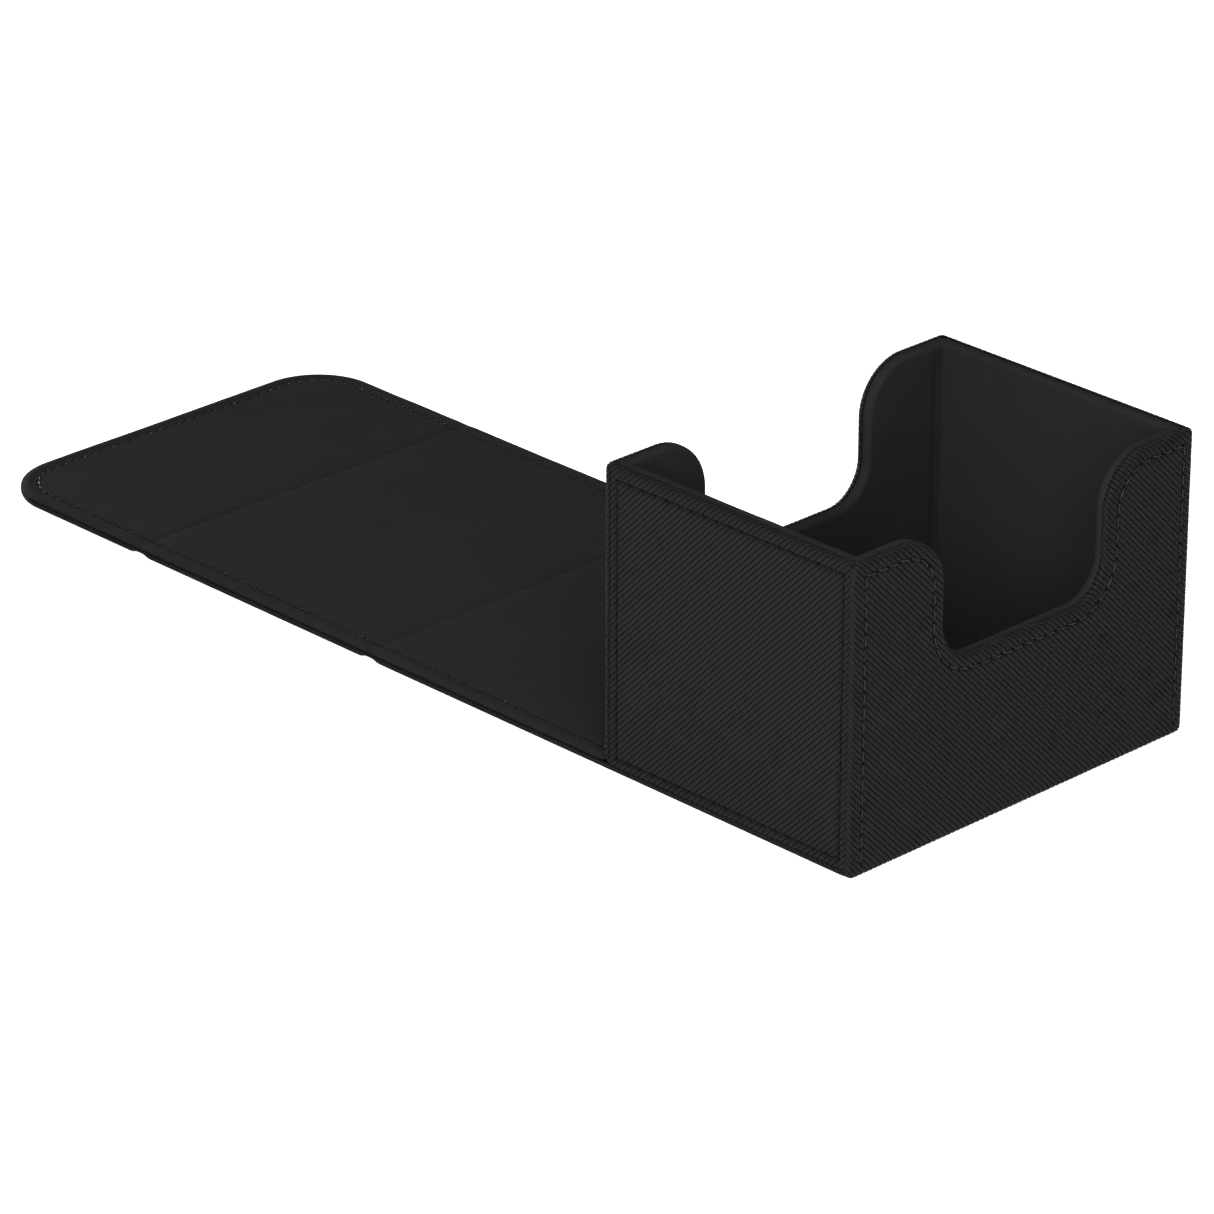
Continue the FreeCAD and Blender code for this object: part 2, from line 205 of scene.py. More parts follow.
class Outline:
    """Closed anticlockwise outline through right-angled corners (x, y, radius)."""

    def __init__(self, corners):
        self.points = np.array([corner[:2] for corner in corners], float)
        self.radii = [float(corner[2]) for corner in corners]
        self.arms, self.convex = [], []
        for i, p in enumerate(self.points):
            before = unit(self.points[i - 1] - p)
            after = unit(self.points[(i + 1) % len(self.points)] - p)
            self.arms.append((before, after))
            self.convex.append(before[1] * after[0] - before[0] * after[1] > 0)

    def inset(self, distance, least=0.0):
        """The outline moved inwards, with its convex corners kept at least a little round."""
        made = []
        for p, r, (before, after), convex in zip(self.points, self.radii, self.arms, self.convex):
            step = (before + after) * distance
            if convex:
                made.append((*(p + step), max(r - distance, least)))
            else:
                made.append((*(p - step), r + distance))
        return Outline(made)

    def stretches(self):
        """Straight stretches as (start, end) and arcs as (centre, radius, arms)."""
        lines, arcs = [], []
        for i, (before, after) in enumerate(self.arms):
            r = self.radii[i]
            if r > 0:
                arcs.append((self.points[i] + (before + after) * r, r, before, after))
            j = (i + 1) % len(self.points)
            start = self.points[i] + after * r
            end = self.points[j] + self.arms[j][0] * self.radii[j]
            if np.linalg.norm(end - start) > 1e-6:
                lines.append((start, end))
        return lines, arcs

    def arc(self, i, step):
        """Points round corner i."""
        before, after = self.arms[i]
        r = self.radii[i]
        centre = self.points[i] + (before + after) * r
        return [centre - r * (after * math.cos(angle) + before * math.sin(angle))
                for angle in np.radians(np.arange(0, 91, step))]

    def path(self, first, last):
        """Points from corner first to corner last, going round the corners between them."""
        points = [self.points[first]]
        i = first
        while i != last:
            i = (i + 1) % len(self.points)
            if i == last or self.radii[i] <= 0:
                points.append(self.points[i])
            else:
                points += self.arc(i, ARC_STEP)
        return np.array(points)

    def around(self):
        """The whole outline as points."""
        loop = [(self.points[0] + self.points[1]) / 2]
        for i in range(1, len(self.points) + 1):
            loop += self.arc(i % len(self.points), ROLL_STEP)
        return np.array(loop)

    def inside(self, p):
        """Which points lie inside, by counting the edges that pass beside each of them."""
        loop = self.around()
        odd = np.zeros(len(p), bool)
        for a, b in zip(loop, np.roll(loop, -1, 0)):
            if abs(a[1] - b[1]) < 1e-12:
                continue
            spans = (a[1] > p[:, 1]) != (b[1] > p[:, 1])
            odd ^= spans & (p[:, 0] < a[0] + (p[:, 1] - a[1]) * (b[0] - a[0]) / (b[1] - a[1]))
        return odd

    def distance(self, p):
        """Distance to the outline, positive inside, and the direction in which it grows."""
        best = np.full(len(p), 1e9)
        near = np.zeros_like(p)
        lines, arcs = self.stretches()
        for start, end in lines:
            along = end - start
            share = np.clip((p - start) @ along / (along @ along), 0, 1)
            point = start + share[:, None] * along
            gap = np.linalg.norm(p - point, axis=1)
            closer = gap < best
            best[closer], near[closer] = gap[closer], point[closer]
        for centre, r, before, after in arcs:
            v = p - centre
            length = np.maximum(np.linalg.norm(v, axis=1), 1e-9)
            facing = (v @ before <= 0) & (v @ after <= 0)
            gap = np.where(facing, abs(length - r), 1e9)
            closer = gap < best
            best[closer] = gap[closer]
            near[closer] = (centre + v * (r / length)[:, None])[closer]
        sign = np.where(self.inside(p), 1.0, -1.0)
        grow = (p - near) * (sign / np.maximum(best, 1e-9))[:, None]
        return best * sign, grow


def rectangle(left, bottom, right, top, radius):
    return Outline([(left, bottom, radius), (right, bottom, radius),
                    (right, top, radius), (left, top, radius)])


def notched(half_width, bottom, corner, proud=0.0):
    """End wall with the finger cut-out in its top edge, its rim standing a little proud."""
    cut = CUTOUT_HALF_WIDTH - proud
    right_half = [
        (half_width + proud, bottom, corner),
        (half_width + proud, HEIGHT + proud, corner),
        (cut, HEIGHT + proud, CUTOUT_TOP_ROUND + proud),
        (cut, CUTOUT_BOTTOM + proud, CUTOUT_FOOT_ROUND - proud),
    ]
    return Outline(right_half + [(-x, y, r) for x, y, r in reversed(right_half)])


# ------------------------------------------------------------------ flat meshes
def clip(points, quads, polygons, value):
    """Cut a mesh along value = 0 and keep its positive side."""
    inside = value >= 0
    count = inside[quads].sum(1)
    mixed = [tuple(q) for q in quads[(count > 0) & (count < 4)]]
    quads = quads[count == 4]
    kept, made, extra = [], {}, []
    for face in mixed + polygons:
        shape = []
        for k, a in enumerate(face):
            b = face[(k + 1) % len(face)]
            if inside[a]:
                shape.append(a)
            if inside[a] != inside[b]:
                key = (min(a, b), max(a, b))
                if key not in made:
                    share = value[a] / (value[a] - value[b])
                    made[key] = len(points) + len(extra)
                    extra.append(points[a] + (points[b] - points[a]) * share)
                shape.append(made[key])
        if len(shape) > 2:
            kept.append(tuple(shape))
    if extra:
        points = np.vstack([points, np.array(extra)])
    return points, quads, kept


def compact(points, quads, polygons):
    """The same mesh without the points that no face uses."""
    used = np.zeros(len(points), bool)
    used[quads.ravel()] = True
    for face in polygons:
        used[list(face)] = True
    number = np.cumsum(used) - 1
    return points[used], number[quads], [tuple(int(number[v]) for v in f) for f in polygons]


def grid(outline, reach, cell, angle):
    """Grid of quads over an outline, with its cells turned to an angle and tied to the origin."""
    low, high = outline.points.min(0) - reach, outline.points.max(0) + reach
    along = np.array([math.cos(angle), math.sin(angle)])
    across = np.array([-along[1], along[0]])
    box = np.array([[x, y] for x in (low[0], high[0]) for y in (low[1], high[1])])
    ranges = []
    for axis, step in ((across, cell[0]), (along, cell[1])):
        reachable = box @ axis / step
        ranges.append(np.arange(math.floor(reachable.min()) - 1, math.ceil(reachable.max()) + 2))
    i, j = np.meshgrid(*ranges, indexing="ij")
    points = i.ravel()[:, None] * across * cell[0] + j.ravel()[:, None] * along * cell[1]
    number = np.arange(i.size).reshape(i.shape)
    quads = np.stack([number[:-1, :-1], number[:-1, 1:], number[1:, 1:], number[1:, :-1]], -1)
    quads = quads.reshape(-1, 4)
    near = ((points > low - 1) & (points < high + 1)).all(1)
    return compact(points, quads[near[quads].all(1)], [])[:2]


def roll_profile(width, curl, fullness, depth):
    """The rolled edge as (arc length, sideways reach, share of depth), with its curl at the seam."""
    turn = np.radians(np.arange(0, 91, ROLL_STEP))
    side = np.concatenate([width * np.sin(turn) ** fullness, width - curl * (1 - np.cos(turn[1:]))])
    down = np.concatenate([(depth - curl) * (1 - np.abs(np.cos(turn)) ** fullness),
                           depth - curl + curl * np.sin(turn[1:])])
    length = np.concatenate([[0], np.cumsum(np.hypot(np.diff(side), np.diff(down)))])
    return length, side, down / depth


def loop_of(faces):
    """The boundary vertices of a mesh in order."""
    following = {}
    seen = set()
    for face in faces:
        for k, a in enumerate(face):
            seen.add((a, face[(k + 1) % len(face)]))
    for a, b in seen:
        if (b, a) not in seen:
            following[a] = b
    start = next(iter(following))
    loop, at = [start], following[start]
    while at != start:
        loop.append(at)
        at = following[at]
    return loop


def divided(ring, x, positions):
    """Cut a ring of vertices that runs along X into rings that meet at the positions."""
    rings = []
    for position in sorted(positions, reverse=True):
        beyond = [x[v] > position for v in ring]
        if all(beyond) or not any(beyond):
            continue
        start = next(k for k in range(len(ring)) if beyond[k] and not beyond[k - 1])
        ring = ring[start:] + ring[:start]
        end = (beyond[start:] + beyond[:start]).index(False)
        rings.append(ring[:end + 1] + [ring[-1]])
        ring = ring[end:]
    return rings + [ring]


def flat_face(outline, core, reach, cell, angle, cuts):
    """The sheet before its edge is rolled, cut where its reach beyond the core ends."""
    points, quads = grid(outline, reach, cell, angle)
    points, quads, polygons = clip(points, quads, [], reach + core.distance(points)[0])
    for sign, x in cuts:
        points, quads, polygons = clip(points, quads, polygons, sign * (points[:, 0] - x))
    points, quads, polygons = compact(points, quads, polygons)
    return points, [tuple(int(v) for v in q) for q in quads] + polygons


def rolled(points, beyond, outwards, profile, depth, raised, fold_lift):
    """Where flat points come to lie once the edge is rolled and the face is raised."""
    length, side, share = profile
    height, drop = raised
    sunk = drop + (depth - drop) * np.interp(beyond, length, share)
    if fold_lift is not None:
        lift = fold_lift(points[:, 0])
        sunk = lift + sunk * (1 - lift / depth)
    tilt = np.where(beyond > 0, np.interp(beyond, length, np.gradient(share * depth, length)), 0)
    flat = np.where(beyond > 0, np.abs(np.interp(beyond, length, np.gradient(side, length))), 1)
    place = points - outwards * (beyond - np.interp(beyond, length, side))[:, None]
    place = place + outwards * (height * tilt)[:, None]
    return np.column_stack([place, sunk - height * flat])


def closing_faces(loop, inner):
    """Faces that turn the rim inwards and close the cut ends, and the ring of the flat back.

    inner gives the two vertices behind each vertex of the rim.
    """
    start = next(k for k, v in enumerate(loop) if v in inner and loop[k - 1] in inner)
    loop = loop[start:] + loop[:start]
    closing, run = [], None
    for a, b in zip(loop, loop[1:] + loop[:1]):
        if a in inner and b in inner:
            closing.append((b, a, inner[a][0], inner[b][0]))
            closing.append((inner[b][0], inner[a][0], inner[a][1], inner[b][1]))
            continue
        run = [a] if a in inner else run
        run.append(b)
        if b in inner:
            first, last = run[0], run[-1]
            ends = (inner[first][0], inner[first][1], inner[last][1], inner[last][0])
            closing.append(tuple(reversed(run)) + ends)
    return closing, [inner[v][1] for v in reversed(loop) if v in inner]


def sheet(outline, depth, edge_shape, cell, angle, relief, cuts=(), fold=None, fold_lift=None):
    """A turned-edge cover as a closed thin shell, drawn flat and face up.

    Its face lies at depth 0 and its rim ends at depth. relief gives the face's height, how
    far its edge drops, its painted shade and its texture coordinates at flat points. cuts are X
    positions that end a long sheet, fold is the X position where it bends, and fold_lift
    raises the face towards the rim's end near a fold. Returns vertices (x, y, depth), faces,
    texture coordinates and painted shade.
    """
    roll, curl, fullness, shade_length, darkness = edge_shape
    length, side, share = roll_profile(roll, curl, fullness, depth)
    core = outline.inset(roll, CORE_ROUND)
    points, faces = flat_face(outline, core, length[-1], cell, angle, cuts)
    inward, grow = core.distance(points)
    beyond, outwards = np.maximum(-inward, 0), -grow
    edge = np.where(beyond > 0, roll - beyond, outline.distance(points)[0])
    height, drop, painted_shade, texture = relief(points, edge)
    # painted shade at the rolled edge's end, in the seam
    painted_shade = np.maximum(painted_shade, darkness * step(beyond, length[-1] - shade_length, length[-1]))
    profile = (length, side, share)
    vertices = rolled(points, beyond, outwards, profile, depth, (height, drop), fold_lift)

    loop = loop_of(faces)
    inner, behind, source = {}, [], []
    for v in loop:
        if beyond[v] > length[-1] - RIM_END:
            x, y = points[v] - outwards[v] * (beyond[v] - side[-1] + RIM_WALL)
            first = len(vertices) + len(behind)
            inner[v] = (first, first + 1)
            behind += [(x, y, depth), (x, y, depth * BACK)]
            source += [v, v]
    closing, back = closing_faces(loop, inner)
    vertices = np.vstack([vertices, np.array(behind)])
    bends = [] if fold is None else fold + np.arange(-FOLD_HALF - 1, FOLD_HALF + 1.5, BEND_STRIP)
    backs = [tuple(ring) for ring in divided(back, vertices[:, 0], bends)]
    texture = np.vstack([texture, texture[source]])
    # the turned rim and the flat back are painted fully in shade
    painted_shade = np.concatenate([painted_shade, np.ones(len(source))])
    return vertices, faces + closing + backs, texture, painted_shade


# ------------------------------------------------------------------ relief
def ripple(points, wavelength, seed):
    """Smooth random undulation between about -1 and 1."""
    rng = np.random.default_rng(seed)
    total = np.zeros(len(points))
    for _ in range(RIPPLE_WAVES):
        heading = rng.uniform(0, 2 * math.pi)
        size = wavelength * rng.uniform(*RIPPLE_SPREAD)
        wave = np.array([math.cos(heading), math.sin(heading)]) * 2 * math.pi / size
        total += np.sin(points @ wave + rng.uniform(0, 2 * math.pi))
    return total / math.sqrt(RIPPLE_WAVES * 2)


def rib_coordinates(points, angle, seed):
    """Ribs counted across and along the embossed pattern, which wavers a little."""
    along = points @ np.array([math.cos(angle), math.sin(angle)]) / RIB_PITCH
    across = points @ np.array([-math.sin(angle), math.cos(angle)]) / RIB_PITCH
    return np.column_stack([along, across + RIB_WAVER * ripple(points, RIB_WAVER_LENGTH, seed)])


def grooves(across):
    """Depth of the grooves between the ribs, from 0 on the crests to 1."""
    main = np.abs(across - np.round(across))
    minor = np.abs(across - 0.5 - np.round(across - 0.5))
    return bell(main, GROOVE_WIDTH) + MINOR_GROOVE * bell(minor, GROOVE_WIDTH)


def nearest(points, targets):
    """Distance from each point to the nearest of a few targets."""
    best = np.full(len(points), 1e9)
    for target in targets:
        best = np.minimum(best, (points[:, 0] - target[0]) ** 2 + (points[:, 1] - target[1]) ** 2)
    return np.sqrt(best)


def off_path(points, path):
    """Distance from each point to a line through the path's points."""
    best = np.full(len(points), 1e9)
    for a, b in zip(path, path[1:]):
        along = b - a
        share = np.clip((points - a) @ along / (along @ along), 0, 1)
        best = np.minimum(best, np.linalg.norm(points - a - share[:, None] * along, axis=1))
    return best


def bell(x, width):
    return np.exp(-(x / width) ** 2)


def step(x, low, high):
    share = np.clip((x - low) / (high - low), 0, 1)
    return share * share * (3 - 2 * share)


def holes_along(path, pitch):
    """Needle holes spaced evenly along a path."""
    lengths = np.concatenate([[0], np.cumsum(np.linalg.norm(np.diff(path, axis=0), axis=1))])
    count = max(1, round(lengths[-1] / pitch))
    at = np.linspace(0, lengths[-1], count + 1)
    return np.column_stack([np.interp(at, lengths, path[:, k]) for k in (0, 1)])


def sewn(points, rows):
    """Height and painted shade of sewn channels with a needle hole at each stitch's end."""
    height, painted_shade = np.zeros(len(points)), np.zeros(len(points))
    for path, pitch in rows:
        beside = off_path(points, path)
        along = np.sqrt(np.maximum(nearest(points, holes_along(path, pitch)) ** 2 - beside ** 2, 0))
        channel = bell(beside, CHANNEL_RADIUS)
        hole = bell(beside, HOLE_RADIUS) * bell(along, HOLE_REACH)
        height = np.minimum(height, -CHANNEL_DEPTH * channel - HOLE_DEPTH * hole)
        painted_shade = np.maximum(painted_shade, np.maximum(CHANNEL_SHADE * channel, hole))
    return height, painted_shade


def skin_relief(seam_outline, rows, ribs, seed):
    """Skin with ribs of a depth and angle, whose margin outside the stitch line slopes away."""
    rib_depth, angle = ribs

    def relief(points, edge):
        height, painted_shade = sewn(points, rows)
        outside = np.maximum(-seam_outline.distance(points)[0], 0)
        drop = MARGIN_DROP * (1 - bell(outside, MARGIN_SLOPE))
        texture = rib_coordinates(points, angle, seed)
        groove = grooves(texture[:, 1])
        uneven = 1 + RIB_VARIATION * ripple(points, RIB_VARIATION_LENGTH, seed + 1)
        height = height - rib_depth * uneven * groove
        # painted shade in the grooves, darker on the deeper ribs of the front and rear walls
        painted_shade = np.maximum(painted_shade, GROOVE_PAINTED_SHADE * (rib_depth / END_RIB_DEPTH) ** 2 * groove)
        return height, drop, painted_shade, texture
    return relief


def lining_relief(rows, seed, corner=None):
    """Smooth, slightly uneven lining, with a soft valley in painted shade beside an inner corner at |X| =
    corner.
    """

    def relief(points, edge):
        height, painted_shade = sewn(points, rows)
        height = height - LINING_WAVER * (1 + ripple(points, LINING_WAVER_LENGTH, seed))
        if corner is not None:
            back, width, depth = CORNER_VALLEY
            valley = bell(np.abs(points[:, 0]) - corner + back, width) * step(edge, *VALLEY_ENDS)
            height = height - depth * valley
            painted_shade = np.maximum(painted_shade, VALLEY_SHADE * valley)
        return height, np.zeros(len(points)), painted_shade, points
    return relief


# ------------------------------------------------------------------ objects
class Place:
    """Stands a flat drawing up: X along across, Y along up, and depth inwards."""

    def __init__(self, origin, across, up, thickness):
        self.origin, self.across, self.up = (np.array(v, float) for v in (origin, across, up))
        self.inwards = np.cross(self.across, self.up)
        self.thickness = thickness
        self.flipped = False

    def __call__(self, drawn):
        depth = self.thickness - drawn[:, 2] if self.flipped else drawn[:, 2]
        return (self.origin + np.outer(drawn[:, 0], self.across) + np.outer(drawn[:, 1], self.up)
                + np.outer(depth, self.inwards)) * MM

    def lining(self):
        """The same place for a lining, whose face is on the panel's inner side."""
        inner = Place(self.origin, self.across, self.up, self.thickness)
        inner.flipped = True
        return inner


def make_object(name, vertices, faces, material, texture=None, painted_shade=None):
    mesh = bpy.data.meshes.new(name)
    mesh.from_pydata(vertices.tolist(), [], faces)
    mesh.materials.append(material)
    mesh.polygons.foreach_set("use_smooth", np.ones(len(mesh.polygons), bool))
    if texture is not None:
        index = np.zeros(len(mesh.loops), np.int32)
        mesh.loops.foreach_get("vertex_index", index)
        layer = mesh.uv_layers.new(name="texture")
        layer.data.foreach_set("uv", texture[index].astype(np.float32).ravel())
    if painted_shade is not None:
        attribute = mesh.attributes.new("painted_shade", "FLOAT", "POINT")
        attribute.data.foreach_set("value", painted_shade.astype(np.float32))
    work = bmesh.new()
    work.from_mesh(mesh)
    bmesh.ops.recalc_face_normals(work, faces=work.faces)
    work.to_mesh(mesh)
    work.free()
    mesh.set_sharp_from_angle(angle=math.radians(SHARP_ANGLE))
    made = bpy.data.objects.new(name, mesh)
    bpy.context.scene.collection.objects.link(made)
    return made


def cover(name, built, place, material):
    """A sheet made into an object and stood in its place."""
    vertices, faces, texture, painted_shade = built
    made = make_object(name, place(vertices), faces, material, texture, painted_shade)
    return made


def tube_faces(first):
    """Faces of one closed thread whose vertices, ring by ring, start at first."""
    around = [(k, (k + 1) % THREAD_SIDES) for k in range(THREAD_SIDES)]
    faces = []
    for ring in range(first, first + (THREAD_RINGS - 1) * THREAD_SIDES, THREAD_SIDES):
        faces += [(ring + a, ring + b, ring + THREAD_SIDES + b, ring + THREAD_SIDES + a) for a, b in around]
    end = first + (THREAD_RINGS - 1) * THREAD_SIDES
    faces.append(tuple(first + a for a, b in reversed(around)))
    faces.append(tuple(end + a for a, b in around))
    return faces


def threads(name, stitch_rows, places, material, fold_lift=None):
    """Stitches as short twisted threads whose ends dive into the needle holes."""
    share = np.linspace(0, 1, THREAD_RINGS)
    dive = THREAD_TOP + THREAD_DIVE * np.abs(2 * share - 1) ** DIVE_POWER
    radii = THREAD_RADIUS * (1 - THREAD_TAPER * np.abs(2 * share - 1) ** TAPER_POWER)
    around = np.linspace(0, 2 * math.pi, THREAD_SIDES, endpoint=False)
    vertices, faces = [], []
    for place in places:
        for path, pitch in stitch_rows:
            holes = holes_along(path, pitch)
            for a, b in zip(holes, holes[1:]):
                along = b - a
                beside = np.array([-along[1], along[0]]) / np.linalg.norm(along)
                first = sum(len(v) for v in vertices)
                middles = (a + np.outer(THREAD_GAP + (1 - 2 * THREAD_GAP) * share, along)
                           + np.outer(THREAD_SLANT * (2 * share - 1), beside))
                depths = dive.copy()
                if fold_lift is not None and not place.flipped:
                    depths += fold_lift(middles[:, 0])
                rows = []
                for s, middle, depth, radius in zip(share, middles, depths, radii):
                    ply = 1 + PLY_DEPTH * np.cos(2 * (around - 2 * math.pi * PLY_TWISTS * s))
                    out = np.outer(radius * ply * np.cos(around), beside)
                    rows.append(np.column_stack([middle + out, depth - radius * ply * np.sin(around)]))
                vertices.append(place(np.vstack(rows)))
                faces += tube_faces(first)
    made = make_object(name, np.vstack(vertices), faces, material)
    return made


# ------------------------------------------------------------------ materials
class Finish:
    """A procedural material, built node by node round one principled shader."""

    def __init__(self, name):
        self.material = bpy.data.materials.new(name)
        self.material.use_nodes = True
        self.nodes, self.links = self.material.node_tree.nodes, self.material.node_tree.links
        self.nodes.clear()
        output = self.nodes.new("ShaderNodeOutputMaterial")
        self.shader = self.nodes.new("ShaderNodeBsdfPrincipled")
        self.links.new(self.shader.outputs[0], output.inputs[0])

    def add(self, kind, **values):
        """A new node, with its settings and input values given by name."""
        node = self.nodes.new(kind)
        for key, value in values.items():
            if hasattr(node, key):
                setattr(node, key, value)
            else:
                node.inputs[key].default_value = value
        return node

    def feed(self, socket, value):
        """Link a socket to another node's output, or give it a plain value."""
        if isinstance(value, bpy.types.NodeSocket):
            self.links.new(value, socket)
        else:
            socket.default_value = value

    def set(self, values):
        """Feed the shader's inputs by name, and return the finished material."""
        for name, value in values.items():
            self.feed(self.shader.inputs[name], value)
        return self.material

    def maths(self, operation, a, b=None):
        node = self.add("ShaderNodeMath", operation=operation)
        self.feed(node.inputs[0], a)
        if b is not None:
            self.feed(node.inputs[1], b)
        return node.outputs[0]

    def texture(self):
        """The texture coordinates that each sheet carries."""
        return self.add("ShaderNodeUVMap", uv_map="texture").outputs[0]

    def painted_shade(self):
        """How much painted shade a point gets in a groove, seam, crease or needle hole, from 0 to 1."""
        return self.add("ShaderNodeAttribute", attribute_name="painted_shade").outputs["Fac"]

    def noise(self, place, scale, detail, roughness=0.5):
        node = self.add("ShaderNodeTexNoise", Scale=scale, Detail=detail, Roughness=roughness)
        self.links.new(place, node.inputs["Vector"])
        return node.outputs["Fac"]

    def mixed(self, factor, dark, light):
        mix = self.add("ShaderNodeMix", data_type="RGBA")
        self.links.new(factor, mix.inputs[0])
        mix.inputs[6].default_value = (*dark, 1)
        mix.inputs[7].default_value = (*light, 1)
        return mix.outputs[2]

    def darker(self, colour, shade):
        """The colour, darker by a shade from 0 to 1."""
        scale = self.add("ShaderNodeVectorMath", operation="SCALE")
        self.links.new(colour, scale.inputs[0])
        self.links.new(self.maths("SUBTRACT", 1.0, shade), scale.inputs["Scale"])
        return scale.outputs[0]

    def bump(self, height, strength, distance):
        node = self.add("ShaderNodeBump", Strength=strength, Distance=distance)
        self.links.new(height, node.inputs["Height"])
        return node.outputs[0]

    def near_line(self, counted, offset, reach):
        """1 where a counted coordinate minus offset is whole, fading to 0 at reach from there."""
        part = self.maths("FRACT", self.maths("ADD", counted, 0.5 - offset))
        away = self.maths("ABSOLUTE", self.maths("SUBTRACT", part, 0.5))
        fade = self.add("ShaderNodeMapRange", interpolation_type="SMOOTHSTEP")
        self.links.new(away, fade.inputs["Value"])
        for name, value in zip(("From Min", "From Max", "To Min", "To Max"), (0.0, reach, 1.0, 0.0)):
            fade.inputs[name].default_value = value
        return fade.outputs[0]


def skin_material():
    """Matte leatherette over the modelled ribs: short cross cuts and fine grain, with painted shade and less
    gloss in grooves, cuts, seams and needle holes.
    """
    finish = Finish("embossed_leatherette")
    place = finish.texture()
    split = finish.add("ShaderNodeSeparateXYZ")
    finish.links.new(place, split.inputs[0])
    along, across = split.outputs[0], split.outputs[1]
    main = finish.near_line(across, 0.0, MAIN_REACH)
    minor = finish.near_line(across, 0.5, MINOR_REACH)
    groove = finish.maths("MAXIMUM", main, finish.maths("MULTIPLY", minor, MINOR_GROOVE))
    rib = finish.maths("FLOOR", finish.maths("MULTIPLY", across, 2.0))
    random = finish.add("ShaderNodeTexWhiteNoise", noise_dimensions="1D")
    finish.links.new(rib, random.inputs["W"])
    counted = finish.maths("ADD", finish.maths("MULTIPLY", along, CUTS_PER_PITCH), random.outputs[0])
    cut = finish.near_line(counted, 0.0, CUT_REACH)
    grain = finish.noise(place, *GRAIN)
    patch = finish.noise(place, *PATCH)
    shades = [(finish.painted_shade(), SEAM_SHADE), (groove, GROOVE_SHADE), (cut, CUT_SHADE)]
    parts = [finish.maths("MULTIPLY", part, darkness) for part, darkness in shades]
    shade = finish.maths("MAXIMUM", finish.maths("MAXIMUM", parts[0], parts[1]), parts[2])
    uneven = finish.maths("MULTIPLY", patch, ROUGHNESS_VARIATION)
    height = grain
    for part in (cut, minor):
        height = finish.maths("SUBTRACT", height, finish.maths("MULTIPLY", part, CUT_HEIGHT))
    return finish.set({
        "Base Color": finish.darker(finish.mixed(grain, SKIN_DARK, SKIN_LIGHT), shade),
        "Specular IOR Level": finish.maths("MULTIPLY", finish.maths("SUBTRACT", 1.0, shade), SKIN_GLOSS),
        "Normal": finish.bump(height, *GRAIN_BUMP),
        "Roughness": finish.maths("ADD", uneven, SKIN_ROUGHNESS),
    })


def lining_material():
    """Soft brushed microfibre with a faint nap, and painted shade in its seams, needle holes, creases,
    corner valleys and rim ends.
    """
    finish = Finish("brushed_microfibre")
    place = finish.texture()
    nap = finish.noise(place, *NAP)
    fibre = finish.noise(place, *FIBRE)
    both = finish.maths("MULTIPLY", finish.maths("ADD", nap, fibre), 0.5)
    shade = finish.maths("MULTIPLY", finish.painted_shade(), LINING_SHADE)
    return finish.set({
        "Base Color": finish.darker(finish.mixed(both, LINING_DARK, LINING_LIGHT), shade),
        "Normal": finish.bump(fibre, *FIBRE_BUMP),
        "Roughness": LINING_ROUGHNESS,
        "Specular IOR Level": LINING_GLOSS,
    })


def plain_material(name, dark, light, scale, roughness, metallic=0.0, specular=0.3):
    """Simple mottled finish for thread and for the parts hidden inside the panels."""
    finish = Finish(name)
    noise = finish.noise(finish.add("ShaderNodeTexCoord").outputs["Object"], scale, 3.0)
    return finish.set({
        "Base Color": finish.mixed(noise, dark, light),
        "Normal": finish.bump(noise, *GRAIN_BUMP),
        "Roughness": roughness,
        "Metallic": metallic,
        "Specular IOR Level": specular,
    })


LEATHERETTE = skin_material()
MICROFIBRE = lining_material()
THREAD = plain_material("sewing_thread", THREAD_DARK, THREAD_LIGHT, 3000, 0.4, specular=0.3)
# the same thread again, painted darker with shade, for the left and right walls
SHADED_THREAD = plain_material("shaded_thread", SHADED_THREAD_DARK, SHADED_THREAD_LIGHT, 3000, 0.6, specular=0.1)
BOARD = plain_material("black_board", BOARD_DARK, BOARD_LIGHT, 900, 0.95, specular=HIDDEN_GLOSS)
FOAM = plain_material("black_foam", FOAM_DARK, FOAM_LIGHT, 2500, 0.95, specular=HIDDEN_GLOSS)
MAGNET = plain_material("nickel_plate", NICKEL_DARK, NICKEL_LIGHT, 400, 0.3, metallic=1.0)

# ------------------------------------------------------------------ walls
X, Y, Z = (1, 0, 0), (0, 1, 0), (0, 0, 1)
SKIN_CORNER = CORE_ROUND + SKIN_EDGE[0]
WALL_LINING_CORNER = CORE_ROUND + WALL_LINING_EDGE[0]
LINING_CORNER = CORE_ROUND + LINING_EDGE[0]


def end_wall(name, place, foot, rib_angle, seed):
    """Front or rear wall."""
    outer = notched(HALF_WIDTH - END_TRIM, foot, SKIN_CORNER, PROUD)
    seam = notched(HALF_WIDTH, foot, SKIN_CORNER).inset(SEAM_END)
    rows = [(seam.path(a, b), WALL_PITCH) for a, b in ((0, 1), (1, 6), (6, 7))]
    low, high = corners_of(name + "_lining")
    inner = notched(high[1], low[2], WALL_LINING_CORNER, PROUD)
    inner_corner = corners_of("right_wall_lining")[0][1]
    wall(name, place, outer, seam, rows, inner, inner_corner, (END_RIB_DEPTH, rib_angle), THREAD, seed)


